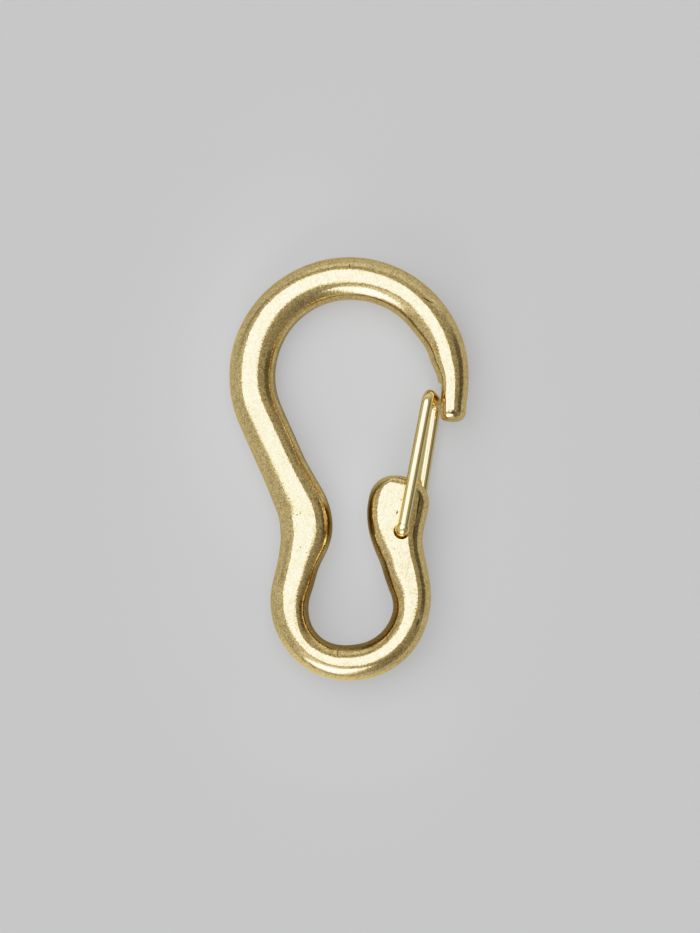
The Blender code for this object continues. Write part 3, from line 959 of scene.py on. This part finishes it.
# %% Marks of use on the casting, in millimetres and degrees
# Each row: middle along X and Y, the way it lies, half its length, half its width and its colour.
BLACK_MARK = (0.06, 0.05, 0.03, 1.0)
BROWN_MARK = (0.22, 0.10, 0.04, 1.0)
GREY_MARK = (0.15, 0.14, 0.11, 1.0)
RUST_MARK = (0.085, 0.032, 0.010, 1.0)
MARKS = (
    (14.1, 30.2, -27.0, 1.50, 0.13, BLACK_MARK),
    (0.1, 36.5, 90.0, 0.36, 0.12, BLACK_MARK),
    (12.3, -27.5, 74.0, 0.85, 0.24, GREY_MARK),
    (-2.0, -33.0, 80.0, 0.55, 0.16, BROWN_MARK),
    (18.6, 10.1, 10.0, 0.50, 0.36, GREY_MARK),
    (12.4, -6.6, 81.0, 2.60, 0.15, BLACK_MARK),
    (11.6, -11.2, 84.0, 1.70, 0.13, BROWN_MARK),
    (8.6, -7.8, 74.0, 0.48, 0.26, RUST_MARK),
    (9.4, -5.5, 0.0, 0.17, 0.15, RUST_MARK),
    (8.2, -14.3, 0.0, 0.17, 0.17, RUST_MARK),
    (-9.3, -8.2, 20.0, 0.24, 0.18, RUST_MARK),
    (-8.7, -7.9, 20.0, 0.22, 0.16, RUST_MARK),
    (-8.7, -14.0, 0.0, 0.18, 0.16, RUST_MARK),
    (-7.6, -15.0, 0.0, 0.15, 0.15, RUST_MARK),
)
MILLIMETRE = 0.001
print("marks", len(MARKS))


def marked(tree, coordinates, colour):
    """The colour with every mark laid over it, one after the other."""
    for x, y, lie, half_length, half_breadth, shade in MARKS:
        way = unit(math.radians(lie))
        centre = (x * MILLIMETRE, y * MILLIMETRE, 0.0)
        along = (*(way / (half_length * MILLIMETRE)), 0.0)
        across = (*(left_of(way) / (half_breadth * MILLIMETRE)), 0.0)
        links = (("Vector", coordinates), ("Centre", centre), ("Along", along), ("Across", across))
        colour = mix_colour(tree, use_group(tree, mark_group, links).outputs["Mark"], colour, shade)
    return colour


# %% Cast brass: colours
CLEAN_BRASS = (0.98, 0.735, 0.345, 1.0)
DULL_BRASS = (0.88, 0.64, 0.28, 1.0)
SHADED_FACET = (0.28, 0.28, 0.28, 1.0)
LIT_FACET = (1.0, 1.0, 1.0, 1.0)
PIT_BRASS = (0.20, 0.10, 0.045, 1.0)
EDGE_TINT = (1.0, 0.84, 0.48, 1.0)
# Painted shade with a brown tint of grime, for the inside of the small loop and the throat.
SHADE_AND_GRIME = (0.62, 0.54, 0.42, 1.0)
DULL_RANGE = (0.42, 0.72)
SPECKLE_SCALE = 4300.0
PIT_SCALE = 1900.0
PIT_SIZE = 0.26
PITTED_RANGE = (0.40, 0.65)
PIT_RARITIES = (0.95, 0.78)

# %% Cast brass: painted shade and grime inside the small loop and in the throat, and the surface
# Each place of painted shade and grime is an ellipse: its middle and its half sizes, in metres.
SHADED_GRIMY_PLACES = (((0.0002, -0.0239), (0.0088, 0.0088)), ((0.0001, -0.0090), (0.0043, 0.0115)))
SHADE_AND_GRIME_EDGE_SHARES = (0.90, 1.10)
CAST_FINE_SCALE = 3000.0
CAST_COARSE_SCALE = 420.0
CAST_BUMP = 0.000018
CAST_ROUGH_RANGE = (0.3, 0.7)
CAST_ROUGHNESS = (0.08, 0.13)


def grain_of(tree, coordinates, fine_scale, coarse_scale):
    """The grain's outputs on a material's own coordinates."""
    links = (("Vector", coordinates), ("Fine Scale", fine_scale), ("Coarse Scale", coarse_scale))
    return use_group(tree, grain_group, links).outputs


def bumped(tree, shader, height, distance):
    """Lets a height tilt the light on a shader."""
    bump = add(tree, "ShaderNodeBump", (("Height", height), ("Strength", 1.0), ("Distance", distance)))
    tree.links.new(bump.outputs["Normal"], shader.inputs["Normal"])


def metal(name):
    """A new metal of brass's edge tint, with its node tree, its shader and its coordinates."""
    material = bpy.data.materials.new(name)
    material.use_nodes = True
    tree = material.node_tree
    shader = tree.nodes["Principled BSDF"]
    shader.inputs["Metallic"].default_value = 1.0
    shader.inputs["Specular Tint"].default_value = EDGE_TINT
    return material, tree, shader, add(tree, "ShaderNodeTexCoord").outputs["Object"]


# %% Cast brass
def cast_brass():
    """Tumbled cast brass: warm metal, duller in patches and dark in its pits, with a fine grain, painted
    shade with a brown tint of grime inside the small loop and the throat, and marks of use."""
    material, tree, shader, coordinates = metal("cast_brass_tumbled")
    grain = grain_of(tree, coordinates, CAST_FINE_SCALE, CAST_COARSE_SCALE)
    rarity = ramp_of(tree, grain["Patches"], *PITTED_RANGE, *PIT_RARITIES)
    pit_links = (("Vector", coordinates), ("Scale", PIT_SCALE), ("Size", PIT_SIZE), ("Rarity", rarity))
    pit = use_group(tree, pits_group, pit_links).outputs["Pit"]
    dull = range_of(tree, grain["Patches"], *DULL_RANGE)
    colour = mix_colour(tree, dull, CLEAN_BRASS, DULL_BRASS)
    speckle_links = (("Vector", coordinates), ("Scale", SPECKLE_SCALE))
    speckle = use_group(tree, speckle_group, speckle_links).outputs["Facet"]
    colour = vector_of(tree, "MULTIPLY", colour, mix_colour(tree, speckle, SHADED_FACET, LIT_FACET))
    colour = mix_colour(tree, pit, colour, PIT_BRASS)
    # Painted shade with a brown tint of grime: the colour is darkened inside the small loop and in the
    # throat, where shade falls.
    for centre, half_size in SHADED_GRIMY_PLACES:
        reach = reach_share_of(tree, coordinates, centre, half_size)
        shade_and_grime = ramp_of(tree, reach, *SHADE_AND_GRIME_EDGE_SHARES, 1.0, 0.0)
        colour = vector_of(tree, "MULTIPLY", colour, mix_colour(tree, shade_and_grime, LIT_FACET, SHADE_AND_GRIME))
    roughness = range_of(tree, grain["Patches"], *CAST_ROUGH_RANGE, *CAST_ROUGHNESS)
    tree.links.new(marked(tree, coordinates, colour), shader.inputs["Base Color"])
    tree.links.new(roughness, shader.inputs["Roughness"])
    bumped(tree, shader, sum_of(tree, "SUBTRACT", grain["Height"], pit), CAST_BUMP)
    return material


casting.data.materials.clear()
casting.data.materials.append(cast_brass())
print("casting wears", casting.data.materials[0].name)

# %% Brass wire
WIRE_BRASS = (0.75, 0.585, 0.28, 1.0)
WIRE_FINE_SCALE = 3200.0
WIRE_COARSE_SCALE = 700.0
WIRE_BUMP = 0.000004
WIRE_ROUGHNESS = 0.16


def brass_wire():
    """Drawn brass wire: smoother and paler than the casting."""
    material, tree, shader, coordinates = metal("brass_wire_drawn")
    grain = grain_of(tree, coordinates, WIRE_FINE_SCALE, WIRE_COARSE_SCALE)
    bumped(tree, shader, grain["Height"], WIRE_BUMP)
    shader.inputs["Base Color"].default_value = WIRE_BRASS
    shader.inputs["Roughness"].default_value = WIRE_ROUGHNESS
    return material


gate.data.materials.append(brass_wire())
print("gate wears", gate.data.materials[0].name)

# %% [markdown]
# ## Floor plane
# Laid down, the carabiner rests on its gate's back leg and on the far side of the casting, so it lies
# a few degrees off level. The floor is the plane that touches it there: of all planes below every
# point, it is the one that is highest under the centre of mass.

# %% Plane that the carabiner rests on
REST_ROUNDS = 60
FAR_SHARE = 10
HAIR = 1e-9


def all_points(made):
    """Places of a mesh's points, as an array."""
    places = np.zeros(len(made.data.vertices) * 3)
    made.data.vertices.foreach_get("co", places)
    return places.reshape(-1, 3)


def resting_plane(points, centre):
    """Slopes along X and Y and height of the plane under the points. It starts from three far points
    above everything and swaps in the point that is furthest below it, as long as there is one: of
    the three planes that keep two old points and the new one, it takes the one that still holds
    the centre between its points."""
    far = np.abs(points).max() * FAR_SHARE
    held = np.array([(-far, -far, far), (far, -far, far), (0.0, far, far)])
    plane = np.array((0.0, 0.0, far))
    for _ in range(REST_ROUNDS):
        below = points[:, 2] - points[:, :2] @ plane[:2] - plane[2]
        lowest = int(np.argmin(below))
        if below[lowest] > -HAIR:
            break
        for out in range(3):
            trial = held.copy()
            trial[out] = points[lowest]
            shares = np.linalg.solve(np.vstack((trial[:, :2].T, np.ones(3))), (*centre, 1.0))
            if shares.min() > -HAIR:
                held = trial
                plane = np.linalg.solve(np.column_stack((held[:, :2], np.ones(3))), held[:, 2])
                break
    return plane


rest_points = np.concatenate((all_points(casting), all_points(gate)))
mass_centre = all_points(casting)[:, :2].mean(axis=0)
slope_x, slope_y, floor_height = resting_plane(rest_points, mass_centre)
print("floor tilt, degrees", math.degrees(math.atan(slope_x)), math.degrees(math.atan(slope_y)))

# %% [markdown]
# ## Studio
# Brass is a mirror, so what it shows is the room. Lamps would draw small hard spots, and a real table
# top is lit by large windows. So the room is a dome with a wide soft window above and to the left,
# whose lower right quarter and top right corner are shut by flags, and a lower window at the foot of
# the object. The rest is grey: brighter on the left and at the top, with four dark patches. These few
# shapes draw every bright band and every dark line on the casting. The dome is the world's shader.


# %% Windows of the studio
LEAST_FORWARD = 0.001


def make_window():
    """A soft-edged window in the sky. A direction is split into its parts along the window's own
    three axes, and the side and top parts are divided by the forward part: that is where the
    direction crosses the window's plane. Inside the window's edges the mask is one."""
    group, given, made = new_group(
        "sky_window",
        [(name, VECTOR) for name in ("Direction", "Forward", "Side", "Top")]
        + [(name, NUMBER) for name in ("Side Low", "Side High", "Top Low", "Top High", "Softness")],
        (("Mask", NUMBER),),
    )

    def part(axis):
        """The direction's part along one of the window's axes."""
        sources = (given.outputs["Direction"], given.outputs[axis])
        return vector_of(group, "DOT_PRODUCT", *sources, output="Value")

    forward = part("Forward")
    safe = sum_of(group, "MAXIMUM", forward, LEAST_FORWARD)
    mask = sum_of(group, "GREATER_THAN", forward, LEAST_FORWARD)
    for axis in ("Side", "Top"):
        where = sum_of(group, "DIVIDE", part(axis), safe)
        for edge, sign in ((f"{axis} Low", 1.0), (f"{axis} High", -1.0)):
            gap = sum_of(group, "SUBTRACT", where, given.outputs[edge])
            inward = sum_of(group, "MULTIPLY", gap, sign)
            soft = sum_of(group, "DIVIDE", inward, given.outputs["Softness"])
            mask = sum_of(group, "MULTIPLY", mask, ramp_of(group, soft, -1.0, 1.0))
    group.links.new(mask, made.inputs["Mask"])
    return group


window_group = make_window()
print("window group has", len(window_group.nodes), "nodes")

# %% Where each window stands
# Each row: bearing and height of the way it faces, its roll, all in degrees, then its low and high
# edges sideways and upwards as tangents of the angle from its middle, and its softness.
WINDOWS = {
    "key": (-90, 90, 0, -1.04, 0.37, -0.26, 1.00, 0.045),
    "key_flag": (-90, 90, 0, 0.03, 9.0, -9.0, -0.06, 0.05),
    "key_corner": (-90, 90, 45, 0.66, 9.0, -9.0, 9.0, 0.05),
    "sill": (-90, 90, 0, -0.95, 0.04, -1.15, -0.25, 0.14),
    "foot": (-105, 0, -20, -0.47, 0.12, 0.14, 1.40, 0.14),
    "foot_flag": (-105, 0, 25, -9.0, 9.0, 0.83, 9.0, 0.11),
    "foot_glow": (-105, 0, 0, -0.48, 0.42, 0.20, 1.70, 0.40),
    "top_glow": (75, 0, 0, -0.75, 0.75, -0.40, 0.48, 0.14),
    "right_dark": (2, 0, 0, -0.30, 0.42, 0.0, 0.62, 0.12),
    "top_dark": (115, 0, -24, -0.95, 0.75, 0.34, 0.49, 0.07),
    "left_dark": (150, 0, 0, -0.28, 0.42, -0.20, 0.42, 0.14),
    "low_dark": (-60, 0, 0, -0.34, 0.30, 0.22, 1.50, 0.10),
}
KEY_LIGHT = (5.1, 5.1, 5.4)
FOOT_LIGHT = (8.2, 8.2, 8.5)
FOOT_GLOW_LIGHT = (0.85, 0.84, 0.78)
SILL_LIGHT = (0.30, 0.29, 0.27)
TOP_GLOW_LIGHT = (0.44, 0.44, 0.41)
DARK_SHARES = {"right_dark": 0.62, "top_dark": 0.55, "left_dark": 0.40, "low_dark": 0.25}
ROOM_GREY = 0.70
ROOM_SLOPE = (-0.28, 0.16, 0.0)
WARM_TINT = (1.02, 0.96, 0.74, 1.0)
COOL_TINT = (1.00, 0.985, 0.86, 1.0)


def window_axes(bearing, height, roll):
    """Forward, side and top of a window that faces this way: forward goes by the cosines and sines
    of the bearing and the height, side is level, top is square to both, and the roll turns side
    and top about forward."""
    bearing, height, roll = (math.radians(angle) for angle in (bearing, height, roll))
    level = unit(bearing)
    forward = np.array((*(math.cos(height) * level), math.sin(height)))
    side = np.array((*left_of(level), 0.0))
    top = np.cross(forward, side)
    rolled_side = math.cos(roll) * side + math.sin(roll) * top
    return forward, rolled_side, np.cross(forward, rolled_side)


def window_mask(tree, direction, name):
    """The mask of one window, placed in a shader."""
    bearing, height, roll, *edges_and_softness = WINDOWS[name]
    axes = dict(zip(("Forward", "Side", "Top"), window_axes(bearing, height, roll)))
    labels = ("Side Low", "Side High", "Top Low", "Top High", "Softness")
    links = [("Direction", direction), *axes.items(), *zip(labels, edges_and_softness)]
    return use_group(tree, window_group, links).outputs["Mask"]


# %% Dome
def open_share(tree, direction, name):
    """One less a flag's mask: what the flag leaves open."""
    return sum_of(tree, "SUBTRACT", 1.0, window_mask(tree, direction, name))


def studio_dome():
    """The world. Its grey is a middle value plus the dot product of the direction and a slope, tinted
    from warm on the right to cool on the left and dimmed by one less each dark patch's share. Then
    come the windows: each is its mask, times what its flags leave open, times its light."""
    world = bpy.data.worlds.new("studio")
    bpy.context.scene.world = world
    world.use_nodes = True
    tree = world.node_tree
    background = tree.nodes["Background"]
    direction = add(tree, "ShaderNodeTexCoord").outputs["Generated"]
    slope = vector_of(tree, "DOT_PRODUCT", direction, ROOM_SLOPE, output="Value")
    grey = sum_of(tree, "ADD", slope, ROOM_GREY)
    across = add(tree, "ShaderNodeSeparateXYZ", ((0, direction),)).outputs["X"]
    warmth = range_of(tree, across, -1.0, 1.0)
    for name, dark_share in DARK_SHARES.items():
        dark = sum_of(tree, "MULTIPLY", window_mask(tree, direction, name), dark_share)
        grey = sum_of(tree, "MULTIPLY", grey, sum_of(tree, "SUBTRACT", 1.0, dark))
    light = scaled(tree, mix_colour(tree, warmth, COOL_TINT, WARM_TINT), grey)
    for name, brightness, flags in (
        ("key", KEY_LIGHT, ("key_flag", "key_corner")),
        ("foot", FOOT_LIGHT, ("foot_flag",)),
        ("sill", SILL_LIGHT, ()),
        ("foot_glow", FOOT_GLOW_LIGHT, ()),
        ("top_glow", TOP_GLOW_LIGHT, ()),
    ):
        window = window_mask(tree, direction, name)
        for flag in flags:
            window = sum_of(tree, "MULTIPLY", window, open_share(tree, direction, flag))
        light = vector_of(tree, "ADD", light, scaled(tree, brightness, window))
    tree.links.new(light, background.inputs["Color"])
    return world


print("world", studio_dome().name, "with", len(WINDOWS), "windows, flags and dark patches")

# %% [markdown]
# ## Floor
# The floor is a pale, matt board. About half of its light is its own, as on a light table, and that
# keeps the shadows pale, while the other half is the room's, and that makes them soft and real. What the
# brass mirrors of it is set apart from what the eye sees. Both carry painted light, and what the brass
# mirrors also carries painted shadow that the picture doesn't show: the Light Path node tells the two
# apart.

# %% Pale floor
FLOOR_REACH = 2.0
FLOOR_COLOUR = (0.229, 0.230, 0.233, 1.0)
FLOOR_ROUGHNESS = 0.9
FLOOR_GLOW = 0.285
MIRRORED_GREY = 0.26
SEEN_TINT = (1.012, 1.024, 1.042)
MIRRORED_TINT = (1.02, 0.96, 0.72)

# %% Patches of light on the floor
# Each row: middle, half sizes and added light. The first table is what the eye sees, the second what
# the brass mirrors: bright at the foot, dull inside the loops and where the casting keeps light off.
SEEN_PATCHES = (
    ((-0.001, 0.000), (0.040, 0.066), 0.040),
    ((-0.006, 0.014), (0.026, 0.036), 0.085),
    ((0.000, -0.016), (0.012, 0.020), 0.056),
    ((0.000, -0.046), (0.022, 0.012), 0.026),
)
MIRRORED_PATCHES = (
    ((-0.011, -0.048), (0.024, 0.018), 0.60),
    ((-0.012, 0.070), (0.070, 0.030), 0.12),
    ((-0.034, 0.004), (0.016, 0.040), 0.16),
    ((-0.009, 0.014), (0.006, 0.020), -0.26),
    ((-0.004, -0.004), (0.006, 0.010), -0.20),
    ((0.000, -0.014), (0.007, 0.012), -0.36),
    ((0.000, -0.025), (0.007, 0.008), -0.34),
)
PATCH_EDGE_SHARES = (0.45, 1.30)


def patch_sum(tree, place_on_floor, start, patches):
    """A starting value plus each patch's light, full in its middle and gone past its edge."""
    total = start
    for centre, half_size, light in patches:
        reach = reach_share_of(tree, place_on_floor, centre, half_size)
        total = sum_of(tree, "ADD", total, ramp_of(tree, reach, *PATCH_EDGE_SHARES, light, 0.0))
    return sum_of(tree, "MAXIMUM", total, 0.0)


def pale_floor():
    """A large square on the resting plane. It is a touch brighter round the object, where the brass
    throws light back, and the brass mirrors a duller floor than the eye sees."""
    corner = FLOOR_REACH * np.array(((-1, -1), (1, -1), (1, 1), (-1, 1)), float)
    height = corner @ np.array((slope_x, slope_y)) + floor_height
    points = np.column_stack((corner, height))
    floor = mesh_object("floor", points, np.array([[0, 1, 2, 3]]), np.zeros((0, 3), int))
    material = bpy.data.materials.new("pale_floor")
    material.use_nodes = True
    tree = material.node_tree
    shader = tree.nodes["Principled BSDF"]
    place_on_floor = add(tree, "ShaderNodeTexCoord").outputs["Object"]
    # Painted light and painted shadow: patches raise and lower the floor's own light, for the brass's
    # mirror and for the eye.
    mirrored = patch_sum(tree, place_on_floor, MIRRORED_GREY, MIRRORED_PATCHES)
    own_light = patch_sum(tree, place_on_floor, FLOOR_GLOW, SEEN_PATCHES)
    seen = add(tree, "ShaderNodeLightPath").outputs["Is Camera Ray"]
    mirrored_light = scaled(tree, MIRRORED_TINT, mirrored)
    light = mix_colour(tree, seen, mirrored_light, scaled(tree, SEEN_TINT, own_light))
    tree.links.new(light, shader.inputs["Emission Color"])
    shader.inputs["Emission Strength"].default_value = 1.0
    shader.inputs["Base Color"].default_value = FLOOR_COLOUR
    shader.inputs["Roughness"].default_value = FLOOR_ROUGHNESS
    shader.inputs["Specular IOR Level"].default_value = 0.0
    floor.data.materials.append(material)
    return floor


floor = pale_floor()
print("floor height under the origin", floor_height)

# %% [markdown]
# ## Camera
# The camera looks straight down from over half a metre, as in the photograph. The picture is 700 by
# 933 pixels, and a pixel is 0.18 mm on the plane of the casting.

# %% Camera
PICTURE = (700, 933)
PIXEL = 0.00018
CAMERA_HEIGHT = 0.60
OBJECT_PIXEL = (348.5, 468.45)
SENSOR_MILLIMETRES = 36.0
CLIP_RANGE = (0.01, 10.0)


def straight_down():
    """A camera over the object. Its sensor's long side over its focal length is as the picture's
    long side over the camera's height."""
    camera = bpy.data.cameras.new("camera")
    camera.sensor_width = SENSOR_MILLIMETRES
    camera.lens = SENSOR_MILLIMETRES * CAMERA_HEIGHT / (PICTURE[1] * PIXEL)
    camera.clip_start, camera.clip_end = CLIP_RANGE
    made = bpy.data.objects.new("camera", camera)
    bpy.context.scene.collection.objects.link(made)
    middle = (np.array(PICTURE) - 1) / 2
    right, down = (middle - np.array(OBJECT_PIXEL)) * PIXEL
    made.location = (right, -down, CAMERA_HEIGHT)
    bpy.context.scene.camera = made
    return made


camera = straight_down()
print("camera at", camera.location[:], "lens", camera.data.lens)

# %% [markdown]
# ## Tone of the picture
# A bright band on brass isn't a flat yellow in a photograph: film lets each colour fade towards white
# as it gets brighter, so the band turns cream. A tone curve does the same here.

# %% Tone curve
TONE_REACH = 6.0
TONE_SHARES = (0.0, 0.02, 0.05, 0.09, 0.14, 0.20, 0.28, 0.38, 0.50, 0.64, 0.80, 1.0)


def film_tone():
    """Each colour's light becomes one less the exponential of minus the light."""
    view = bpy.context.scene.view_settings
    view.view_transform = "Standard"
    view.use_curve_mapping = True
    mapping = view.curve_mapping
    mapping.white_level = (TONE_REACH, TONE_REACH, TONE_REACH)
    *_, all_colours = mapping.curves
    for share in TONE_SHARES[1:-1]:
        all_colours.points.new(share, 1 - math.exp(-share * TONE_REACH))
    all_colours.points[len(all_colours.points) - 1].location = (1.0, 1 - math.exp(-TONE_REACH))
    mapping.update()


film_tone()
print("tone curve reaches", TONE_REACH, "times white")
